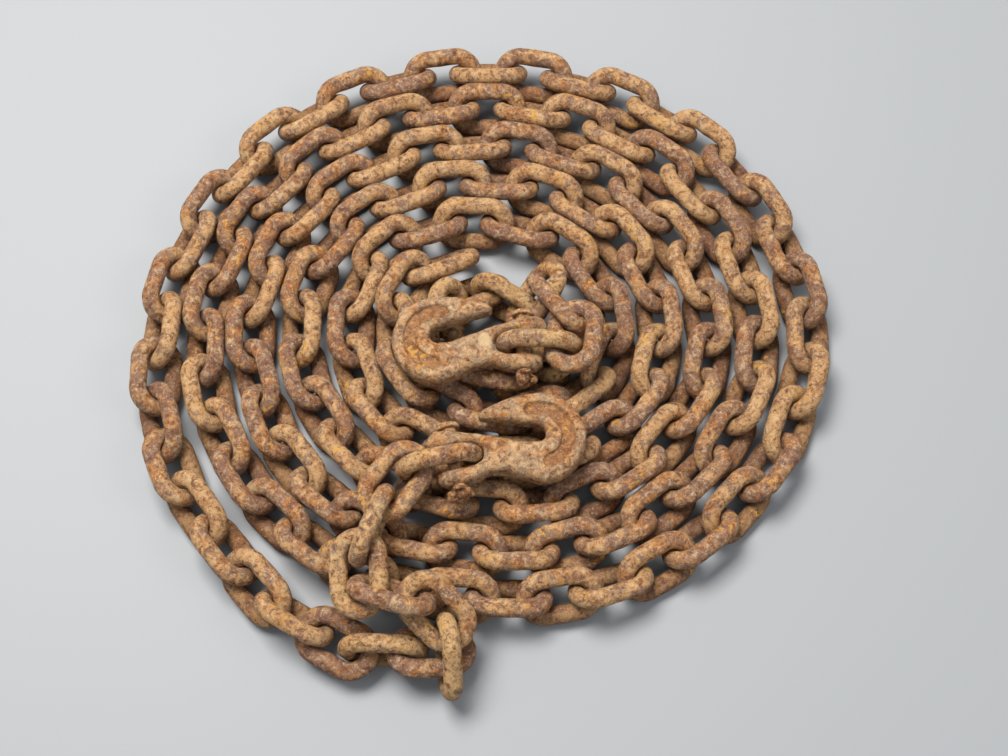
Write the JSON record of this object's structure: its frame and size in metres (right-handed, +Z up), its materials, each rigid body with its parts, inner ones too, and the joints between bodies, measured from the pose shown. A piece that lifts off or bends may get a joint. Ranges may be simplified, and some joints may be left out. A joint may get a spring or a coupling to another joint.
{
  "type": "heap of steel chain with grab hooks",
  "caption": "Rusty steel link chain laid down as a flat coil, its loose ends turned back over the heap, each ending in a clevis grab hook with a pin and a cotter.",
  "frame": {"origin": "on the floor under the middle of the heap's bounding box", "axes": "+Z up, +X to the right and +Y to the back as the picture shows the heap"},
  "size_m": [0.425, 0.4218, 0.061],
  "materials": {
    "coil_rust": "carbon steel under an even coat of brown rust, with no bare metal",
    "end_rust": "carbon steel under brown rust, slightly lighter on top",
    "hook_rust": "forged steel with pale tan scale and orange rust in its recesses",
    "pin_rust": "steel pin under dark brown rust",
    "cotter_rust": "steel wire under flaking orange rust"
  },
  "bodies": {
    "root": {"coil_links_01": "coil_rust", "coil_links_02": "coil_rust", "coil_links_03": "coil_rust", "coil_links_04": "coil_rust", "coil_links_05": "coil_rust", "coil_links_06": "coil_rust", "coil_links_07": "coil_rust", "coil_links_08": "coil_rust", "coil_links_09": "coil_rust", "coil_links_10": "coil_rust", "coil_links_11": "coil_rust", "coil_links_12": "coil_rust", "coil_links_13": "coil_rust", "coil_links_14": "coil_rust", "coil_links_15": "coil_rust", "coil_links_16": "coil_rust", "coil_links_17": "coil_rust", "coil_links_18": "coil_rust", "coil_links_19": "coil_rust", "coil_links_20": "coil_rust", "coil_links_21": "coil_rust", "coil_links_22": "coil_rust", "coil_links_23": "coil_rust", "coil_links_24": "coil_rust", "coil_links_25": "coil_rust", "coil_links_26": "coil_rust", "coil_links_27": "coil_rust", "coil_links_28": "coil_rust", "coil_links_29": "coil_rust", "tail_link_01": "end_rust", "tail_link_02": "end_rust", "tail_link_03": "end_rust", "tail_link_04": "end_rust", "tail_link_05": "end_rust", "tail_link_06": "end_rust", "tail_link_07": "end_rust", "tail_link_08": "end_rust", "tail_link_09": "end_rust", "tail_link_10": "end_rust", "inner_link_01": "end_rust", "inner_link_02": "end_rust", "inner_link_03": "end_rust", "inner_link_04": "end_rust", "inner_link_05": "end_rust", "inner_link_06": "end_rust", "inner_link_07": "end_rust", "inner_link_08": "end_rust", "inner_link_09": "end_rust", "inner_link_10": "end_rust", "inner_link_11": "end_rust", "front_hook": "hook_rust", "front_hook_pin": "pin_rust", "front_hook_cotter": "cotter_rust", "back_hook": "hook_rust", "back_hook_pin": "pin_rust", "back_hook_cotter": "cotter_rust"}
  },
  "joints": []
}
